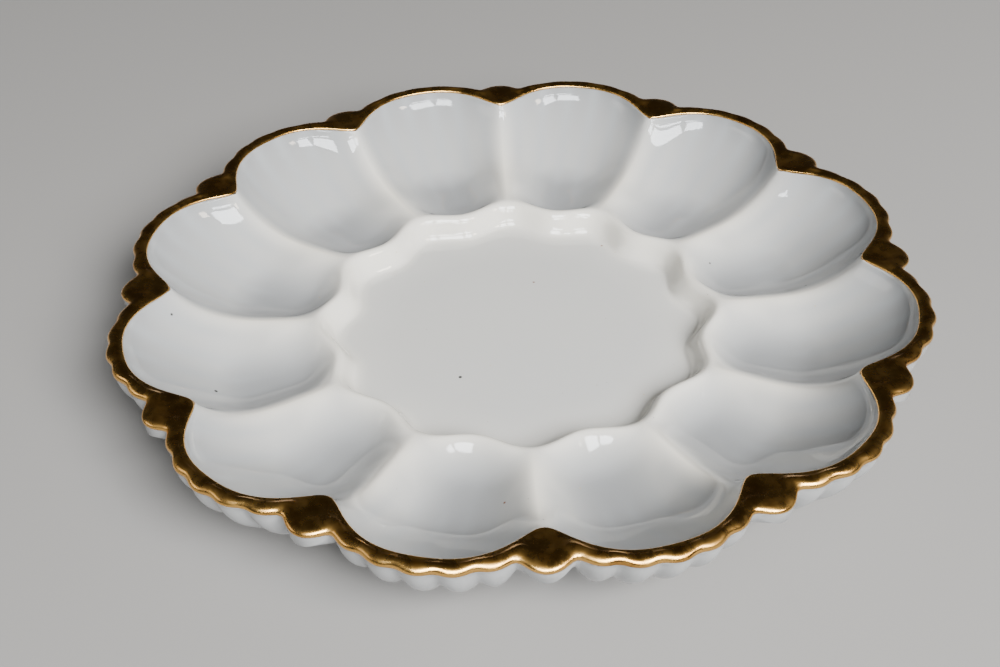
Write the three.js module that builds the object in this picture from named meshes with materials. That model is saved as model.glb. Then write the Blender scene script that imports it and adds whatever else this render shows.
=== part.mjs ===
// A round pressed milk-glass egg plate with twelve shell-shaped wells around a sunken
// centre, and the gold film that is fired onto its scalloped rim.
//
// Millimetres, +Z up. The origin is on the plate's axis at table height, and +X runs
// through the middle of one well. Each piece is a lathe form whose rings are then shaped
// by formulas of two numbers: the place across a sector, and the place along the section.
import * as THREE from 'three';

// Driving dimensions
const wellCount = 12;
const rimHeight = 29.5;            // rim crest at the low point between two wells
const lobeRise = 1.3;              // how much higher the crest is at the middle of a well
const valleyRadius = 106.2;        // rim crest between two wells
const lobeRadius = 119;            // rim crest at the middle of a well
const cornerSoftness = 0.27;       // how rounded the crest's corner between two wells is
const wideNotchRadius = 116.4;     // notch on each side of the wide scallop between two wells
const wideBump = 4.4;              // how far the wide scallop stands out of its notches
const flangeWidth = 3.4;           // crest to the notches of the small scallops
const smallBump = 1.6;             // how far a small scallop stands out of its notches
const smallScallops = 5;           // small scallops around each well
const wideHalfAngle = 3.55;        // degrees
const landHeight = 15.1;           // crest of the land between the wells and the centre
const landRadiusWell = 58.6;
const landRadiusValley = 63;
const recessRadiusWell = 56.4;     // upper edge of the centre recess, which is wavy
const recessRadiusValley = 60.8;
const recessEdgeHeight = 14.3;
const floorHeight = 7.5;           // top of the flat centre
const floorInset = 4.8;            // recess edge to the flat floor
const wellFloorHeight = 7.3;       // lowest level of the wells
const innerWallShare = 0.2;        // share of a well's length that its inner wall takes
const outerWallShare = 0.5;        // share of its length at which its straight outer wall starts
const rimBend = 3.6;               // height of the steeper last part of the outer wall
const footRadius = 62;
const footWidth = 4;
const undersideHeight = 2.2;       // underside of the centre and of the wells
const fluteDepth = 2;              // grooves between the flutes under the rim
const notchRise = 0.4;             // how much higher the lip is at a notch than at a tip
const filmThickness = 0.35;
const filmGap = 0.5;               // gap to the glass below, along the radius and the height
const lipDrop = 1.6;               // how far the round lip falls to its outermost edge
const flangeSag = 0.15;            // hollow of the flange between the crest and the lip

// Steps around one sector, which runs from the middle of one wide scallop to the next:
// each small scallop has its tip and notches, and the wide one a shoulder besides
const sectorAngle = 360 / wellCount;
const halfSector = sectorAngle / 2;
const smallAngle = (sectorAngle - 2 * wideHalfAngle) / smallScallops;
const shoulderAngle = 0.6 * wideHalfAngle;
const stepAngles = [0, shoulderAngle];
for (let half = 0; half <= 2 * smallScallops; half += 1) {
  stepAngles.push(wideHalfAngle + half * smallAngle / 2);
}
stepAngles.push(sectorAngle - shoulderAngle);
const ringSteps = wellCount * stepAngles.length;
const lipTurns = [0, 35, 65, 90];  // degrees along the round lip

// 0 at the middle of a well and 1 between two wells, for angles in this sector or just past it
function spreadAt(angle) {
  return Math.abs(Math.abs(angle) % sectorAngle - halfSector) / halfSector;
}

function mix(low, high, share) {
  return low + (high - low) * share;
}

function wave(spread) {
  return (1 - Math.cos(Math.PI * spread)) / 2;
}

function crestRadius(spread) {
  const lobe = Math.hypot(1 - spread ** 2.6, cornerSoftness) ** 1.15;
  const corner = cornerSoftness ** 1.15;
  const middle = Math.hypot(1, cornerSoftness) ** 1.15;
  return mix(valleyRadius, lobeRadius, (lobe - corner) / (middle - corner));
}

function crestHeight(spread) {
  return rimHeight + lobeRise * (1 - spread ** 2);
}

function notchRadius(angle) {
  return Math.max(crestRadius(spreadAt(angle)) + flangeWidth, wideNotchRadius);
}

// The scallop that an angle of the sector falls in: its two notches and its bump
function scallopAt(angle) {
  if (angle < wideHalfAngle) {
    return { start: -wideHalfAngle, end: wideHalfAngle, bump: wideBump };
  }
  if (angle > sectorAngle - wideHalfAngle) {
    const start = sectorAngle - wideHalfAngle;
    return { start, end: start + 2 * wideHalfAngle, bump: wideBump };
  }
  const count = Math.min(Math.floor((angle - wideHalfAngle) / smallAngle), smallScallops - 1);
  const start = wideHalfAngle + count * smallAngle;
  return { start, end: start + smallAngle, bump: smallBump };
}

// 0 at the tip of a scallop and 1 at its notches
function notchShare(angle) {
  const { start, end } = scallopAt(angle);
  return Math.abs(2 * (angle - start) / (end - start) - 1);
}

// Outermost radius of the scalloped lip
function lipRadius(angle) {
  const { start, end, bump } = scallopAt(angle);
  const line = mix(notchRadius(start), notchRadius(end), (angle - start) / (end - start));
  return line + bump * (1 - notchShare(angle) ** 2);
}

function lipHeight(angle) {
  const rise = 0.9 + 0.6 * (1 - spreadAt(angle) ** 2);
  return rimHeight + rise + notchRise * notchShare(angle) ** 2;
}

// Top surface between the land around the centre (share 0) and the rim crest (share 1). At
// the middle of its sector it is a well, with a steep inner wall, a level floor and a
// straight sloping outer wall. Between two wells it is a ridge that stays as low as the
// land before it climbs to the rim.
function wellPoint(share, spread) {
  const landRadius = mix(landRadiusWell, landRadiusValley, wave(spread));
  const radius = mix(landRadius, crestRadius(spread), share);
  const fall = Math.min(1, share / innerWallShare);
  const climb = Math.max(0, (share - outerWallShare) / (1 - outerWallShare));
  const innerWall = (landHeight - wellFloorHeight) * (1 - (1 - fall) ** 1.6);
  const outerWall = (crestHeight(spread) - rimBend - wellFloorHeight) * climb ** 1.2;
  const well = landHeight - innerWall + outerWall + rimBend * climb ** 22;
  const ridge = mix(landHeight, crestHeight(spread), share ** 4.5);
  const ridgeRounding = 1.25 + 0.65 * (1 - share ** 4);
  const across = (1 - spread ** 2.5) ** ridgeRounding;
  return [radius, mix(ridge, well, across)];
}

// The round lip, from its top (turn 0) to its outermost edge (turn 90 degrees), or a line
// that lies inside it by an inset
function lipPoint(angle, turnDegrees, inset) {
  const turn = THREE.MathUtils.degToRad(turnDegrees);
  const lip = lipRadius(angle);
  const width = THREE.MathUtils.clamp(0.55 * (lip - crestRadius(spreadAt(angle))), 2.5, 4.6);
  const radius = lip - width + (width - inset) * Math.sin(turn);
  const height = lipHeight(angle) - lipDrop + (lipDrop - inset) * Math.cos(turn);
  return [radius, height];
}

// The bottom of the flange's shallow hollow, between the crest and the lip
function flangePoint(angle, inset) {
  const crest = crestRadius(spreadAt(angle)) + 0.5;
  const [lipStart, lipTop] = lipPoint(angle, 0, 0);
  const height = mix(crestHeight(spreadAt(angle)), lipTop, 0.5) - flangeSag - inset;
  return [mix(crest, lipStart, 0.5), height];
}

// Underside between the outer wall (share 1) and the foot (share 0): a round belly under
// each well and a groove under each ridge, with flutes that fade towards the foot
function undersidePoint(share, angle) {
  const bellyStart = 80;
  const bellyPower = 1.8;
  const spread = spreadAt(angle);
  const top = lipHeight(angle) - lipDrop;
  const wallRadius = lipRadius(angle) - 0.3;
  const radius = mix(footRadius + footWidth, wallRadius, share);
  const belly = Math.max(0, (radius - bellyStart) / (wallRadius - bellyStart));
  const bellyShare = 1 - (1 - belly ** bellyPower) ** (1 / bellyPower);
  const bellyHeight = mix(undersideHeight, top, bellyShare);
  const grooveHeight = mix(undersideHeight + 1, rimHeight - 4, share ** 1.1);
  const flute = fluteDepth * share * (notchShare(angle) ** 2 - 0.35);
  return [radius, mix(bellyHeight, grooveHeight, wave(spread) ** 7) + flute];
}

// The plate's section at one angle, from the middle of the top to the middle of the base
function glassSection(angle) {
  const spread = spreadAt(angle);
  const recessRadius = mix(recessRadiusWell, recessRadiusValley, wave(spread));
  const section = [[0, floorHeight]];
  section.push([recessRadius - floorInset, floorHeight]);
  section.push([recessRadius - 2.4, floorHeight + 1.7]);
  section.push([recessRadius - 0.8, recessEdgeHeight - 1.6]);
  section.push([recessRadius + 0.6, recessEdgeHeight + 0.3]);
  for (const share of [0.01, 0.05, 0.1, 0.15, 0.2, 0.35, 0.52, 0.64, 0.77, 0.9, 0.96]) {
    section.push(wellPoint(share, spread));
  }
  const sunk = filmThickness + filmGap;
  const crest = crestRadius(spread);
  section.push([crest - 0.6, crestHeight(spread) - 0.3]);
  section.push([crest - 0.3, crestHeight(spread) - 0.3 - sunk]);
  section.push(flangePoint(angle, sunk));
  for (const turn of lipTurns) {
    section.push(lipPoint(angle, turn, sunk));
  }
  section.push([lipRadius(angle) - 0.3, lipHeight(angle) - lipDrop - 0.9]);
  for (const share of [0.985, 0.95, 0.86, 0.68, 0.4, 0.12]) {
    section.push(undersidePoint(share, angle));
  }
  section.push([footRadius + footWidth / 2, 0]);
  section.push([footRadius - footWidth / 2, 0]);
  section.push([footRadius - footWidth / 2 - 1.5, undersideHeight]);
  section.push([0, undersideHeight]);
  return section;
}

// The film's section at one angle: its outer face from the crest to the lower edge, and
// its inner face back again
function filmSection(angle) {
  const spread = spreadAt(angle);
  const crest = crestRadius(spread);
  const crestTop = crestHeight(spread);
  return [
    [crest - 0.2, crestTop - 0.3],
    [crest + 0.2, crestTop],
    flangePoint(angle, 0),
    ...lipTurns.map((turn) => lipPoint(angle, turn, 0)),
    ...lipTurns.toReversed().map((turn) => lipPoint(angle, turn, filmThickness)),
    flangePoint(angle, filmThickness),
    [crest + 0.1, crestTop - 0.3 - filmThickness],
    [crest - 0.2, crestTop - 0.3],
  ];
}

// A lathe form, shaped afterwards: each ring step takes the section for its own place.
// Sections run from the top round to the bottom, and a lathe's outline runs the other way.
function shapedLathe(sectionAt) {
  const outline = sectionAt(0).reverse().map(([radius, height]) => new THREE.Vector2(radius, height));
  const geometry = new THREE.LatheGeometry(outline, ringSteps);
  const position = geometry.getAttribute('position');
  for (let ring = 0; ring <= ringSteps; ring += 1) {
    const stepAngle = stepAngles[ring % stepAngles.length];
    const sector = Math.floor(ring / stepAngles.length);
    const angle = THREE.MathUtils.degToRad(sector * sectorAngle + halfSector + stepAngle);
    sectionAt(stepAngle).reverse().forEach(([radius, height], index) => {
      const vertex = ring * outline.length + index;
      position.setXYZ(vertex, radius * Math.cos(angle), radius * Math.sin(angle), height);
    });
  }
  return geometry;
}

// Splits the film's inner four-cornered faces along their other diagonal, the one that the
// glass below them is split along, so that the gap between the two stays even
function matchGlassBelow(geometry) {
  const pointCount = filmSection(0).length;
  const innerFaces = lipTurns.length + 2;
  for (let ring = 0; ring < ringSteps; ring += 1) {
    for (let face = 0; face < innerFaces; face += 1) {
      const first = ring * pointCount + face;
      const corners = [first, first + pointCount, first + pointCount + 1, first + 1];
      const [a, b, c, d] = corners;
      geometry.index.set([a, b, c, a, c, d], (ring * (pointCount - 1) + face) * 6);
    }
  }
  return geometry;
}

function piece(name, geometry, material) {
  const mesh = new THREE.Mesh(geometry, material);
  mesh.name = name;
  return mesh;
}

const milkGlass = new THREE.MeshStandardMaterial({ color: 0xdfe3e2, roughness: 0.12, metalness: 0 });
const firedGold = new THREE.MeshStandardMaterial({ color: 0xb98a45, roughness: 0.28, metalness: 1 });

const plate = new THREE.Group();
plate.add(piece('milk_glass_plate', shapedLathe(glassSection), milkGlass));
plate.add(piece('gold_rim_band', matchGlassBelow(shapedLathe(filmSection)), firedGold));

export default plate;
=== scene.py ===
"""A round pressed milk-glass egg plate with twelve shell-shaped wells and a fired gold rim.

The two CAD nodes are replaced by fine meshes of the same design. Each mesh is a grid: its
rows run along the plate's section, from the middle of the top round to the middle of the
base, and its columns run round the plate. The design's lengths are in millimetres here, and
become metres where a mesh is made.
"""

import math

import bpy
import numpy as np
from mathutils import Matrix, Vector


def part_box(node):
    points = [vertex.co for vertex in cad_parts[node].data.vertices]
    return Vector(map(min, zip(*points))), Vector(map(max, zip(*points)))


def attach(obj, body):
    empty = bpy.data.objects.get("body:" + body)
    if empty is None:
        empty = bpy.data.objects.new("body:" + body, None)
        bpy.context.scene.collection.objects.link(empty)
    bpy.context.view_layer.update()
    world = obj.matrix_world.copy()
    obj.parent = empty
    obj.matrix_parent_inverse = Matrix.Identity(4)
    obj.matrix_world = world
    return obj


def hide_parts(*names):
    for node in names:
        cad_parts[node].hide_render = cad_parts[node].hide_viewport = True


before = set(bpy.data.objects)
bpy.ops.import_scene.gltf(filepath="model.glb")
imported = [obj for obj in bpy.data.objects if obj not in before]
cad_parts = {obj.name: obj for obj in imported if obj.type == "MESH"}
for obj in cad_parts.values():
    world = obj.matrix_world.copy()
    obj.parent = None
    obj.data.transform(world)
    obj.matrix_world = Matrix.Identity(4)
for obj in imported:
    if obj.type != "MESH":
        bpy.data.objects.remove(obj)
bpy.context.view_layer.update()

MM = 0.001
glass_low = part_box("milk_glass_plate")[0]

# ---------------------------------------------------------------- the design, as in the CAD
WELLS = 12
SECTOR = 360 / WELLS                    # degrees from one well to the next
HALF_SECTOR = SECTOR / 2
BASE = glass_low.z / MM                 # the level that the foot ring stands on

# The rim crest is the wells' outer edge.
RIM = 29.5                              # its height between two wells
LOBE_RISE = 1.3                         # how much higher it is at the middle of a well
VALLEY_RADIUS = 106.2                   # its radius between two wells
LOBE_RADIUS = 119                       # its radius at the middle of a well
CORNER = 0.27                           # how rounded its corner between two wells is
CORNER_POWER = 1.15

# The flange lies outside the crest and ends in a round scalloped lip.
WIDE_HALF = 3.55                        # half of the wide scallop between two wells, in degrees
WIDE_NOTCH = 116.4                      # radius of the notches beside it
WIDE_BUMP = 4.4                         # how far it stands out of them
SMALL_SCALLOPS = 5                      # small scallops round each well
SMALL = (SECTOR - 2 * WIDE_HALF) / SMALL_SCALLOPS
SMALL_BUMP = 1.6                        # how far one stands out of its notches
FLANGE = 3.4                            # from the crest to those notches
LIP_RISE = 0.9                          # how much higher than RIM the lip is between two wells
LIP_LOBE_RISE = 0.6                     # and how much more at the middle of a well
NOTCH_RISE = 0.4                        # how much higher the lip is at a notch than at a tip
LIP_DROP = 1.6                          # how far the lip's top rounds down to its outermost edge

# The land runs between the wells and the sunken centre.
LAND = 15.1                             # its height
LAND_WELL = 58.6                        # its radius at the middle of a well
LAND_VALLEY = 63                        # its radius between two wells
RECESS_WELL = 56.4                      # the centre's upper edge, at a well and between two
RECESS_VALLEY = 60.8
FLOOR = 7.5                             # height of the flat centre
FLOOR_INSET = 4.8                       # from the centre's upper edge in to its flat floor

WELL_FLOOR = 7.3                        # the wells' lowest level
INNER_WALL = 0.2                        # share of a well's length that its inner wall takes
OUTER_WALL = 0.5                        # share of its length at which its outer wall starts
RIM_BEND = 3.6                          # height of the outer wall's steep last part

FOOT = 62                               # middle radius of the foot ring
FOOT_WIDTH = 4
UNDERSIDE = 2.2                         # height of the base inside the foot ring and beside it
BELLY_START = 80                        # radius at which the bellies under the wells start
BELLY_POWER = 1.8
FLUTE = 2                               # depth of the grooves in the outer wall

# ---------------------------------------------------------------- how fine the meshes are
WIDE_COLUMNS = 14                       # columns across a wide scallop
SMALL_COLUMNS = 9                       # columns across a small one
RECESS_STEPS = 12
WELL_STEPS = 62
LIP_STEPS = 7
OUTSIDE_STEPS = 22
FILM_STEPS = 40


def mix(low, high, share):
    """The value that lies that share of the way from low to high."""
    return low + (high - low) * share


def columns_of_sector():
    """Places round one sector, in degrees: every notch and every tip falls on one."""
    wide_end = SECTOR - WIDE_HALF
    first = np.linspace(0, WIDE_HALF, WIDE_COLUMNS // 2, endpoint=False)
    middle = np.linspace(WIDE_HALF, wide_end, SMALL_COLUMNS * SMALL_SCALLOPS, endpoint=False)
    last = np.linspace(wide_end, SECTOR, WIDE_COLUMNS // 2, endpoint=False)
    return np.concatenate([first, middle, last])


places = np.tile(columns_of_sector(), WELLS)
sector_starts = SECTOR * np.repeat(np.arange(WELLS), len(places) // WELLS)
angles = np.radians(places + HALF_SECTOR + sector_starts)
spread = np.abs(places - HALF_SECTOR) / HALF_SECTOR      # 0 mid-well, 1 between two wells
wave = (1 - np.cos(np.pi * spread)) / 2


def crest_radius(spread):
    """Radius of the rim crest: a lobe round each well, with soft corners between them."""
    lobe = np.hypot(1 - spread ** 2.6, CORNER) ** CORNER_POWER
    corner = CORNER ** CORNER_POWER
    middle = math.hypot(1, CORNER) ** CORNER_POWER
    return mix(VALLEY_RADIUS, LOBE_RADIUS, (lobe - corner) / (middle - corner))


def rounded(line, passes):
    """A line round the plate with its corners rounded off."""
    for _ in range(passes):
        line = (np.roll(line, 1) + 2 * line + np.roll(line, -1)) / 4
    return line


crest = rounded(crest_radius(spread), 3)
crest_top = rounded(RIM + LOBE_RISE * (1 - spread ** 2), 6)


def notch_radius(place):
    """Radius of a notch between two scallops, at that many degrees into the sector."""
    away = np.abs(np.abs(place) % SECTOR - HALF_SECTOR) / HALF_SECTOR
    return np.maximum(crest_radius(away) + FLANGE, WIDE_NOTCH)


def scallops():
    """Start and end of the scallop at each column, and how far it stands out of its notches."""
    tiny = 1e-9
    count = np.clip(np.floor((places - WIDE_HALF) / SMALL + tiny), 0, SMALL_SCALLOPS - 1)
    start = WIDE_HALF + count * SMALL
    end = start + SMALL
    bump = np.full(len(places), float(SMALL_BUMP))
    first = places < WIDE_HALF - tiny
    last = places > SECTOR - WIDE_HALF - tiny
    start = np.where(first, -WIDE_HALF, np.where(last, SECTOR - WIDE_HALF, start))
    end = np.where(first, WIDE_HALF, np.where(last, SECTOR + WIDE_HALF, end))
    bump = np.where(first | last, WIDE_BUMP, bump)
    return start, end, bump


scallop_start, scallop_end, scallop_bump = scallops()
along_scallop = (places - scallop_start) / (scallop_end - scallop_start)
notch = np.abs(2 * along_scallop - 1)                    # 0 at a tip, 1 at a notch
lip = mix(notch_radius(scallop_start), notch_radius(scallop_end), along_scallop)
lip = rounded(lip + scallop_bump * (1 - notch ** 2), 2)
lip_top = RIM + LIP_RISE + LIP_LOBE_RISE * (1 - spread ** 2) + NOTCH_RISE * notch ** 2
lip_top = rounded(lip_top, 3)
recess = mix(RECESS_WELL, RECESS_VALLEY, wave)
land = mix(LAND_WELL, LAND_VALLEY, wave)


def well_point(share):
    """Top surface from the land (share 0) to the rim crest (share 1): wells with ridges between."""
    fall = min(1, share / INNER_WALL)
    climb = max(0, (share - OUTER_WALL) / (1 - OUTER_WALL))
    inner = (LAND - WELL_FLOOR) * (1 - (1 - fall) ** 1.6)
    outer = (crest_top - RIM_BEND - WELL_FLOOR) * climb ** 1.2 + RIM_BEND * climb ** 22
    well = LAND - inner + outer
    ridge = mix(LAND, crest_top, share ** 4.5)
    across = (1 - spread ** 2.5) ** (1.25 + 0.65 * (1 - share ** 4))
    return mix(land, crest, share), mix(ridge, well, across)


def underside_point(share):
    """Underside from the foot (share 0) to the outer wall (share 1), with flutes under the rim."""
    wall = lip - 0.3
    radius = mix(FOOT + FOOT_WIDTH, wall, share)
    belly = np.maximum(0, (radius - BELLY_START) / (wall - BELLY_START))
    belly_share = 1 - (1 - np.minimum(belly, 1) ** BELLY_POWER) ** (1 / BELLY_POWER)
    belly_height = mix(UNDERSIDE, lip_top - LIP_DROP, belly_share)
    groove_height = mix(UNDERSIDE + 1, RIM - 4, share ** 1.1)
    flute = FLUTE * share * (notch ** 2 - 0.35)
    return radius, mix(belly_height, groove_height, wave ** 7) + flute


def through(points, steps):
    """A smooth curve through the points, with that many steps from each to the next."""
    curve = []
    count = len(points)
    for index in range(count - 1):
        before = points[max(index - 1, 0)]
        start = points[index]
        end = points[index + 1]
        after = points[min(index + 2, count - 1)]
        for step in range(steps):
            t = step / steps
            curve.append(0.5 * (2 * start + (end - before) * t
                                + (2 * before - 5 * start + 4 * end - after) * t ** 2
                                + (3 * start - before - 3 * end + after) * t ** 3))
    curve.append(points[-1])
    return curve


def at(radius, height):
    """One row: a radius and a height for every column."""
    row = np.empty((len(places), 2))
    row[:, 0] = radius
    row[:, 1] = height
    return row


def smooth_rows(rows, first, last, passes_round, passes_along):
    """Rounds the land and the ridges off, less and less towards the first and last row."""
    grid = np.array(rows)
    part = grid[first - 1:last + 1].copy()
    from_start = np.arange(len(part))
    from_end = from_start[::-1]
    fade = np.minimum(1, np.minimum(from_start, from_end) / 3)[:, None, None]
    for _ in range(passes_round):
        mean = (np.roll(part, 1, axis=1) + 2 * part + np.roll(part, -1, axis=1)) / 4
        part = mix(part, mean, fade)
    for _ in range(passes_along):
        mean = part.copy()
        mean[1:-1] = (part[:-2] + 2 * part[1:-1] + part[2:]) / 4
        part = mix(part, mean, fade)
    grid[first - 1:last + 1] = part
    return list(grid)


def centre_rows():
    """The flat centre, and the S-shaped wall round it up to the land."""
    rows = [at(0, FLOOR), at(20, FLOOR), at(38, FLOOR)]
    foot_of_wall = recess - FLOOR_INSET
    rows.append(at(foot_of_wall - 2.5, FLOOR))
    radii = (foot_of_wall, foot_of_wall + 3.4, recess - 0.9, land - 0.4)
    heights = (FLOOR, FLOOR, LAND - 0.05, LAND)
    for step in range(RECESS_STEPS + 1):
        t = step / RECESS_STEPS
        weights = ((1 - t) ** 3, 3 * t * (1 - t) ** 2, 3 * t ** 2 * (1 - t), t ** 3)
        radius = sum(weight * value for weight, value in zip(weights, radii))
        height = sum(weight * value for weight, value in zip(weights, heights))
        rows.append(at(radius, height))
    return rows


def well_rows():
    """The wells and the ridges between them, out to just inside the crest."""
    rows = []
    for step in range(1, WELL_STEPS + 1):
        along = step / WELL_STEPS
        share = 0.994 * mix(along, (1 - math.cos(math.pi * along)) / 2, 0.65)
        rows.append(at(*well_point(share)))
    return rows


def rim_rows(last_well_row):
    """The crest, the flange and the round lip, in one smooth curve from the last row of the wells."""
    points = [last_well_row]
    points += [at(crest - 0.26, crest_top - 0.75), at(crest - 0.12, crest_top - 0.26)]
    points += [at(crest + 0.15, crest_top - 0.02), at(crest + 0.4, crest_top)]
    bead = np.clip(0.55 * (lip - crest), 2, 4.6)
    for share in (0.33, 0.67):
        rise = (lip_top - crest_top) * share ** 1.4
        points.append(at(mix(crest + 0.4, lip - bead, share), crest_top + rise))
    for step in range(LIP_STEPS + 1):
        turn = math.pi / 2 * step / LIP_STEPS
        radius = lip - bead * (1 - math.sin(turn))
        points.append(at(radius, lip_top - LIP_DROP * (1 - math.cos(turn))))
    points.append(at(lip - 0.12, lip_top - LIP_DROP - 0.7))
    points.append(at(lip - 0.3, lip_top - LIP_DROP - 1.2))
    return through(points, 2)[1:]


def base_rows():
    """The outer wall with its flutes, the bellies under the wells, the foot ring and the base inside
    it.
    """
    rows = []
    for step in range(1, OUTSIDE_STEPS + 1):
        share = 1 - 0.995 * (step / OUTSIDE_STEPS) ** 2
        radius, height = underside_point(np.full(len(places), share))
        rows.append(at(radius, np.minimum(height, lip_top - LIP_DROP - 1.3)))
    foot_outside = FOOT + FOOT_WIDTH / 2
    foot_inside = FOOT - FOOT_WIDTH / 2
    rows += [at(foot_outside + 0.5, UNDERSIDE - 1.2), at(foot_outside, BASE + 0.25)]
    rows += [at(foot_outside - 0.4, BASE), at(foot_inside + 0.4, BASE)]
    rows += [at(foot_inside, BASE + 0.25), at(foot_inside - 0.6, UNDERSIDE - 1.0)]
    rows += [at(foot_inside - 1.8, UNDERSIDE), at(0, UNDERSIDE)]
    return rows


def plate_rows():
    """All rows of the glass, and the numbers of the first and last rows that the gold covers."""
    rows = centre_rows() + well_rows()
    first_smoothed = 6
    rows = smooth_rows(rows, first_smoothed, len(rows) - 3, passes_round=5, passes_along=8)
    gold_first = len(rows) - 1
    rows += rim_rows(rows[-1])
    gold_last = len(rows) - 1
    rows += base_rows()
    return rows, gold_first, gold_last


def grid_mesh(name, rows, closed):
    """A mesh of rows and columns. Its ends meet on the axis, or, if closed, each other."""
    grid = np.array(rows)
    count = len(places)
    radius = grid[..., 0]
    height = grid[..., 1]
    points = np.stack([radius * np.cos(angles), radius * np.sin(angles), height], axis=-1) * MM
    vertices = points if closed else points[1:-1]
    row_count = len(vertices)
    index = np.arange(row_count * count).reshape(row_count, count)
    below = np.roll(index, -1, axis=0) if closed else index[1:]
    above = index if closed else index[:-1]
    right_above = np.roll(above, -1, axis=1)
    right_below = np.roll(below, -1, axis=1)
    faces = np.stack([above, below, right_below, right_above], axis=-1).reshape(-1, 4).tolist()
    flat = vertices.reshape(-1, 3).tolist()
    if not closed:
        top = len(flat)
        base = top + 1
        flat += [points[0, 0].tolist(), points[-1, 0].tolist()]
        following = np.roll(np.arange(count), -1)
        faces += [[top, int(a), int(b)] for a, b in zip(index[0], index[0][following])]
        faces += [[base, int(b), int(a)] for a, b in zip(index[-1], index[-1][following])]
    mesh = bpy.data.meshes.new(name)
    mesh.from_pydata(flat, [], faces)
    mesh.validate()
    mesh.update()
    mesh.polygons.foreach_set("use_smooth", [True] * len(mesh.polygons))
    piece = bpy.data.objects.new(name, mesh)
    bpy.context.scene.collection.objects.link(piece)
    return piece


def paint(piece, name, values, closed):
    """A number for every vertex of a grid mesh, which its material reads by that name."""
    grid = np.array(values)
    flat = grid.ravel() if closed else grid[1:-1].ravel()
    numbers = np.zeros(len(piece.data.vertices), dtype=np.float32)
    numbers[:len(flat)] = flat
    layer = piece.data.attributes.new(name, "FLOAT", "POINT")
    layer.data.foreach_set("value", numbers)


# ---------------------------------------------------------------- materials
class Graph:
    """Adds nodes to a material, each wired from numbers, colours or other nodes' outputs."""

    def __init__(self, name):
        self.material = bpy.data.materials.new(name)
        self.material.use_nodes = True
        self.tree = self.material.node_tree
        self.shader = self.tree.nodes["Principled BSDF"]
        self.position = self.tree.nodes.new("ShaderNodeTexCoord").outputs["Object"]

    def wire(self, socket, value):
        if isinstance(value, bpy.types.NodeSocket):
            self.tree.links.new(value, socket)
        else:
            socket.default_value = value

    def noise(self, scale, detail=3.0, roughness=0.5, stretch=(1, 1, 1)):
        spread_out = self.tree.nodes.new("ShaderNodeMapping")
        spread_out.inputs["Scale"].default_value = stretch
        self.wire(spread_out.inputs["Vector"], self.position)
        node = self.tree.nodes.new("ShaderNodeTexNoise")
        self.wire(node.inputs["Vector"], spread_out.outputs["Vector"])
        self.wire(node.inputs["Scale"], scale)
        self.wire(node.inputs["Detail"], detail)
        self.wire(node.inputs["Roughness"], roughness)
        return node.outputs["Fac"]

    def cells(self, scale):
        """Distance to the nearest of many scattered points, and two numbers of that point's own."""
        node = self.tree.nodes.new("ShaderNodeTexVoronoi")
        self.wire(node.inputs["Vector"], self.position)
        self.wire(node.inputs["Scale"], scale)
        split = self.tree.nodes.new("ShaderNodeSeparateColor")
        self.wire(split.inputs[0], node.outputs["Color"])
        return node.outputs["Distance"], split.outputs[0], split.outputs[1]

    def painted(self, name):
        node = self.tree.nodes.new("ShaderNodeAttribute")
        node.attribute_name = name
        return node.outputs["Fac"]

    def span(self, value, low, high, out_low=0.0, out_high=1.0):
        node = self.tree.nodes.new("ShaderNodeMapRange")
        node.interpolation_type = "SMOOTHSTEP"
        for socket, number in zip(node.inputs, (value, low, high, out_low, out_high)):
            self.wire(socket, number)
        return node.outputs[0]

    def math(self, kind, first, second):
        node = self.tree.nodes.new("ShaderNodeMath")
        node.operation = kind
        self.wire(node.inputs[0], first)
        self.wire(node.inputs[1], second)
        return node.outputs[0]

    def blend(self, share, first, second):
        node = self.tree.nodes.new("ShaderNodeMix")
        node.data_type = "RGBA"
        self.wire(node.inputs[0], share)
        self.wire(node.inputs[6], first)
        self.wire(node.inputs[7], second)
        return node.outputs[2]

    def bump(self, height, strength, distance, under=None):
        node = self.tree.nodes.new("ShaderNodeBump")
        self.wire(node.inputs["Strength"], strength)
        self.wire(node.inputs["Distance"], distance)
        self.wire(node.inputs["Height"], height)
        if under is not None:
            self.wire(node.inputs["Normal"], under)
        return node.outputs["Normal"]


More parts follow.
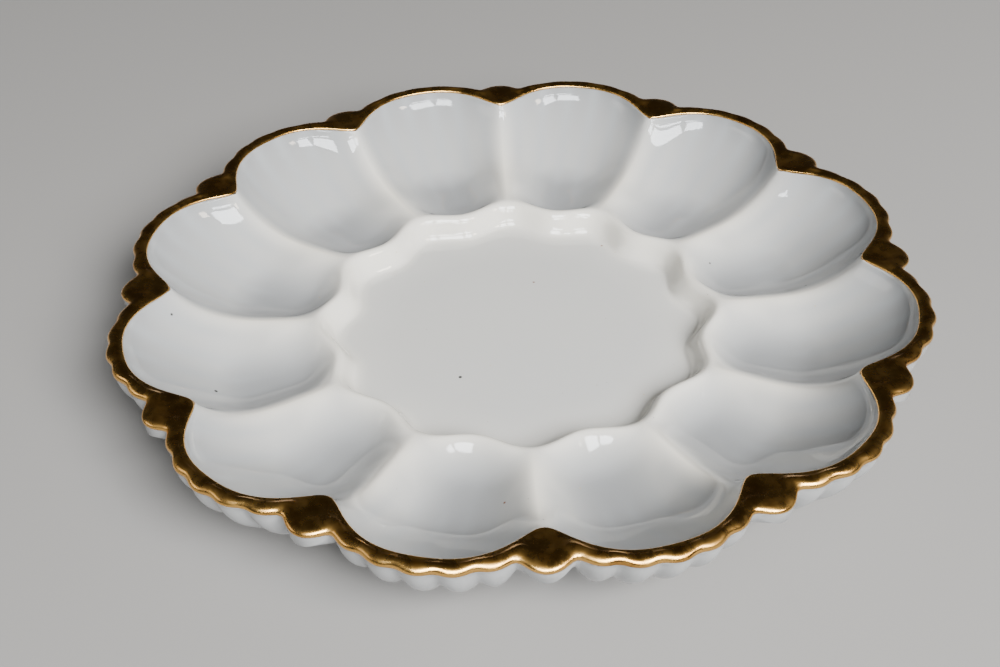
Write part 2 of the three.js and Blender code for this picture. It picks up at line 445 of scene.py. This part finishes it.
def milk_glass():
    """Opal white glass with light and shade painted into its colour: painted shade, cooler and darker,
    in the wells, towards the thin rim, over the flutes and on the underside; painted light, paler and
    warmer, on the ridges, the land and the centre's wall, where the glass is thick.
    """
    body = (0.53, 0.54, 0.535, 1)
    clouded = (0.50, 0.52, 0.53, 1)
    # Painted light: a pale, warm colour for the ridges, the land and the centre's wall.
    painted_light = (0.80, 0.785, 0.72, 1)
    # Painted shade: a dark, cool colour for the wells, the rim and the underside.
    painted_shade = (0.22, 0.235, 0.255, 1)
    # Painted shade: a dark, cool colour for streaks over the flutes.
    painted_flute_shade = (0.36, 0.385, 0.41, 1)
    rust = (0.16, 0.05, 0.015, 1)
    soot = (0.03, 0.03, 0.03, 1)
    grit = (0.30, 0.29, 0.28, 1)
    gold_dust = (0.50, 0.36, 0.10, 1)

    graph = Graph("milk_glass")
    cloudy = graph.span(graph.noise(22, 4, 0.6), 0.35, 0.7, 0.0, 0.35)
    colour = graph.blend(cloudy, body, clouded)
    # Painted light: lightens and warms the ridges, the land and the centre's wall.
    colour = graph.blend(graph.painted("painted_light"), colour, painted_light)
    # Painted shade: darkens the wells, the glass towards the rim and the underside.
    colour = graph.blend(graph.painted("painted_shade"), colour, painted_shade)
    # Painted shade: dark streaks in the wells' outer walls over the flutes.
    colour = graph.blend(graph.painted("painted_flute_shade"), colour, painted_flute_shade)

    distance, which, kind = graph.cells(160)
    near = graph.span(distance, 0.06, 0.11, 1, 0)
    spot = graph.math("MULTIPLY", near, graph.span(which, 0.965, 0.967))
    spot_colour = graph.blend(graph.span(kind, 0.45, 0.55), rust, soot)
    colour = graph.blend(spot, colour, spot_colour)

    distance, which, kind = graph.cells(420)
    near = graph.span(distance, 0.05, 0.13, 1, 0)
    dust = graph.math("MULTIPLY", near, graph.span(which, 0.955, 0.957, 0, 0.55))
    dust_colour = graph.blend(graph.span(kind, 0.7, 0.72), grit, gold_dust)
    colour = graph.blend(dust, colour, dust_colour)
    graph.wire(graph.shader.inputs["Base Color"], colour)

    smear = graph.span(graph.noise(34, 5, 0.65, (1, 1.6, 1)), 0.3, 0.75, 0.02, 0.05)
    grease = graph.span(graph.noise(9, 3, 0.6), 0.45, 0.7, 0, 0.02)
    graph.wire(graph.shader.inputs["Roughness"], graph.math("ADD", smear, grease))
    ripple = graph.bump(graph.noise(55, 2, 0.4), 0.35, 0.0003)
    fine = graph.bump(graph.noise(420, 3, 0.55), 0.08, 0.0001, ripple)
    graph.wire(graph.shader.inputs["Normal"], fine)
    graph.shader.inputs["IOR"].default_value = 1.51
    graph.shader.inputs["Subsurface Weight"].default_value = 0.12
    graph.shader.inputs["Subsurface Radius"].default_value = (1.0, 0.95, 0.85)
    graph.shader.inputs["Subsurface Scale"].default_value = 0.0035
    return graph.material


def fired_gold():
    """Fired gold: brushed on unevenly, rubbed on the high edges, with brown stains."""
    dark = (0.47, 0.23, 0.05, 1)
    light = (0.64, 0.35, 0.09, 1)
    rubbed = (0.92, 0.53, 0.15, 1)
    stained = (0.40, 0.18, 0.04, 1)

    graph = Graph("fired_gold")
    on_edges = graph.painted("rubbed")
    cloudy = graph.span(graph.noise(130, 5, 0.62), 0.35, 0.68)
    colour = graph.blend(cloudy, dark, light)
    colour = graph.blend(on_edges, colour, rubbed)
    stain = graph.span(graph.noise(60, 4, 0.6, (1, 1, 2)), 0.55, 0.72, 0, 0.7)
    colour = graph.blend(stain, colour, stained)
    graph.wire(graph.shader.inputs["Base Color"], colour)
    graph.shader.inputs["Metallic"].default_value = 1
    rough = graph.span(graph.noise(210, 4, 0.6), 0.3, 0.72, 0.2, 0.36)
    graph.wire(graph.shader.inputs["Roughness"], rough)
    brush = graph.bump(graph.noise(95, 3, 0.55), 0.13, 0.0005)
    peel = graph.bump(graph.noise(620, 3, 0.6), 0.15, 0.00012, brush)
    graph.wire(graph.shader.inputs["Normal"], peel)
    return graph.material


# ---------------------------------------------------------------- the two pieces
rows, gold_first, gold_last = plate_rows()


def wobble(seed, amount):
    """A slow uneven wave round the plate, as a brush leaves along its edge."""
    turns = (5, 11, 23, 41, 67)
    wave_sum = sum(np.sin(turn * angles + seed * turn * turn) / (1 + index * 0.4)
                   for index, turn in enumerate(turns))
    return amount * wave_sum / 2


def gold_rows():
    """The film's outer face, from its painted edge inside the crest to its edge under the lip,
    and back along its inner face."""
    outer_lift = 0.07
    inner_lift = 0.02
    grid = np.array(rows)
    along = grid[2:] - grid[:-2]
    normal = np.stack([-along[..., 1], along[..., 0]], axis=-1)
    normal /= np.linalg.norm(normal, axis=-1, keepdims=True) + 1e-12
    outward = np.zeros_like(grid)
    outward[1:-1] = normal
    ridge_end = np.exp(-((1 - spread) / 0.09) ** 2)
    first = gold_first + 2.6 - 3.6 * ridge_end + wobble(1.3, 0.2)
    last = gold_last - 3.2 + 0.8 * notch ** 2 + wobble(2.1, 0.5)
    columns = np.arange(len(places))
    outer = []
    inner = []
    for step in range(FILM_STEPS + 1):
        place = mix(first, last, step / FILM_STEPS)
        low = np.floor(place).astype(int)
        part = (place - low)[:, None]
        point = mix(grid[low, columns], grid[low + 1, columns], part)
        lift = mix(outward[low, columns], outward[low + 1, columns], part)
        outer.append(point + outer_lift * lift)
        inner.append(point + inner_lift * lift)
    return outer + inner[::-1]


def glass_shades():
    """How much painted shade, painted light and painted shade over the flutes each vertex of the glass
    takes, from 0 to 1.
    """
    grid = np.array(rows)
    radius = grid[..., 0]
    height = grid[..., 1]
    share = np.clip((radius - land) / (crest - land), 0, 1.2)
    on_top = (np.arange(len(grid)) <= gold_first + 3)[:, None]

    # Painted shade: darker the deeper in a well, over all of a well, more towards the rim crest, and on
    # the whole underside. The cool tint stands for thin glass, and the darkness is shade painted in.
    deep = np.clip((LAND - 0.5 - height) / (LAND - WELL_FLOOR), 0, 1) * (radius > land)
    in_well = np.clip(share / 0.35, 0, 1) ** 2 * (1 - spread ** 5)
    painted_shade = np.maximum(0.84 * deep, 0.44 * in_well)
    painted_shade = painted_shade + 0.32 * np.clip((share - 0.55) / 0.45, 0, 1) ** 2.5 * (1 - 0.8 * spread ** 6)
    painted_shade = np.where(on_top, painted_shade, 0.6)

    # Painted light: paler and warmer on the ridges, the land and along the centre's wall, warm as thick
    # glass looks.
    painted_light = np.clip(1.3 - np.abs(share - 0.35) / 0.5, 0, 1) * spread ** 4
    painted_light = painted_light * np.clip((radius - land + 6) / 6, 0, 1)
    painted_light = np.maximum(painted_light, 0.75 * np.exp(-((radius - land + 2.5) / 5.5) ** 2))
    painted_light = np.where(on_top, painted_light, 0)

    # Painted shade: dark streaks in the outer half of the wells, over the flutes of the outer wall,
    # with no relief.
    groove = np.exp(-((1 - notch) / 0.45) ** 2) * (1 - spread ** 8)
    painted_flute_shade = 0.6 * groove * np.clip((share - 0.3) / 0.4, 0, 1)
    painted_flute_shade = np.where(on_top, painted_flute_shade, 0)
    return painted_shade, painted_light, painted_flute_shade


plate = grid_mesh("opal_glass_plate", rows, False)
for shade_name, shade in zip(("painted_shade", "painted_light", "painted_flute_shade"), glass_shades()):
    paint(plate, shade_name, shade, False)
plate.data.materials.append(milk_glass())
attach(plate, "root")
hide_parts("milk_glass_plate")

film_rows = gold_rows()
film_radius = np.array(film_rows)[..., 0]
near_crest = np.exp(-((film_radius - crest - 0.2) / 0.6) ** 2)
near_lip = np.exp(-((film_radius - lip + 0.5) / 0.9) ** 2)
film = grid_mesh("fired_gold_film", film_rows, True)
paint(film, "rubbed", np.clip(near_crest + near_lip, 0, 1), True)
film.data.materials.append(fired_gold())
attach(film, "root")
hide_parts("gold_rim_band")


# ---------------------------------------------------------------- camera, floor and light
def camera():
    """At the photo's viewing angle: 38 degrees up, 13 degrees round, with a slight roll."""
    up_angle = math.radians(38.38)
    round_angle = math.radians(13.07)
    roll = math.radians(1.42)
    distance = 409.8                    # from the middle of the rim's plane, along the view
    to_left = 5.5                       # and how far the camera is off that line
    down = 18.7
    right = Vector((1, 0, 0))
    back = Vector((0, -math.cos(up_angle), math.sin(up_angle)))
    up = Vector((0, math.sin(up_angle), math.cos(up_angle)))
    across = math.cos(roll) * right - math.sin(roll) * up
    upward = math.sin(roll) * right + math.cos(roll) * up
    place = (-to_left * across - down * upward + distance * back) * MM
    matrix = Matrix((across, upward, back)).transposed().to_4x4()
    matrix.translation = place
    turn = Matrix.Rotation(round_angle, 4, "Z")
    matrix = Matrix.Translation((0, 0, RIM * MM)) @ turn @ matrix
    data = bpy.data.cameras.new("camera")
    data.lens = 48.186
    data.sensor_width = 36
    data.clip_start = 0.01
    view = bpy.data.objects.new("camera", data)
    view.matrix_world = matrix
    bpy.context.scene.collection.objects.link(view)
    bpy.context.scene.camera = view


def floor():
    """A plain pale floor just under the foot ring."""
    size = 3
    level = glass_low.z - 0.0002
    corners = [(-size, -size, level), (size, -size, level), (size, size, level), (-size, size, level)]
    mesh = bpy.data.meshes.new("floor")
    mesh.from_pydata(corners, [], [(0, 1, 2, 3)])
    piece = bpy.data.objects.new("floor", mesh)
    bpy.context.scene.collection.objects.link(piece)
    pale = bpy.data.materials.new("pale_floor")
    pale.use_nodes = True
    shader = pale.node_tree.nodes["Principled BSDF"]
    shader.inputs["Base Color"].default_value = (0.29, 0.29, 0.29, 1)
    shader.inputs["Roughness"].default_value = 0.85
    mesh.materials.append(pale)


def soft_light(name, place, width, height, brightness, colour, glossy=True, diffuse=True):
    """A soft lamp facing the plate. Its power is its brightness times its area. The plate shows
    its reflection only if it is glossy, and takes light from it only if it is diffuse."""
    data = bpy.data.lights.new(name, "AREA")
    data.shape = "RECTANGLE"
    data.size = width
    data.size_y = height
    data.energy = brightness * math.pi * width * height
    data.color = colour
    lamp = bpy.data.objects.new(name, data)
    lamp.rotation_euler = (-Vector(place)).to_track_quat("-Z", "Y").to_euler()
    lamp.location = place
    lamp.visible_glossy = glossy
    lamp.visible_diffuse = diffuse
    bpy.context.scene.collection.objects.link(lamp)


def window(round_angle, up_angle, distance):
    """A studio window: two panes with a bar between them, and two short panes below them."""
    turn = math.radians(round_angle)
    rise = math.radians(up_angle)
    middle = Vector((math.sin(turn) * math.cos(rise), -math.cos(turn) * math.cos(rise), math.sin(rise)))
    across = Vector((math.cos(turn), math.sin(turn), 0))
    upward = across.cross(-middle)
    cool = (0.92, 0.96, 1.0)
    bar = 0.11
    left, right = 0.55, 0.44            # widths of the panes on each side of the bar
    tall, short = 0.42, 0.08            # heights of the upper and the lower panes
    for low, width in ((-left - bar / 2, left), (bar / 2, right)):
        for foot, height in ((-tall / 2, tall), (-tall / 2 - bar - short, short)):
            place = middle * distance + across * (low + width / 2) + upward * (foot + height / 2)
            soft_light("window_pane", place, width, height, 32, cool, diffuse=False)


camera()
floor()
window(27, 49, 1.35)
soft_light("warm_lamp", (1.05, -0.45, 0.95), 0.2, 0.26, 26, (1.0, 0.86, 0.7))
soft_light("pale_ceiling", (0.2, -0.55, 1.7), 1.6, 1.0, 0.3, (1.0, 0.97, 0.93), glossy=False)
soft_light("left_wall", (-1.5, -0.5, 0.75), 0.9, 0.45, 2.2, (1.0, 0.93, 0.84))
soft_light("key_softbox", (0.92, -1.0, 1.07), 0.9, 0.9, 38, (1.0, 0.98, 0.95), glossy=False)
world = bpy.data.worlds.new("world")
bpy.context.scene.world = world
world.use_nodes = True
world.node_tree.nodes["Background"].inputs[0].default_value = (0.95, 0.97, 1.0, 1)
world.node_tree.nodes["Background"].inputs[1].default_value = 0.03
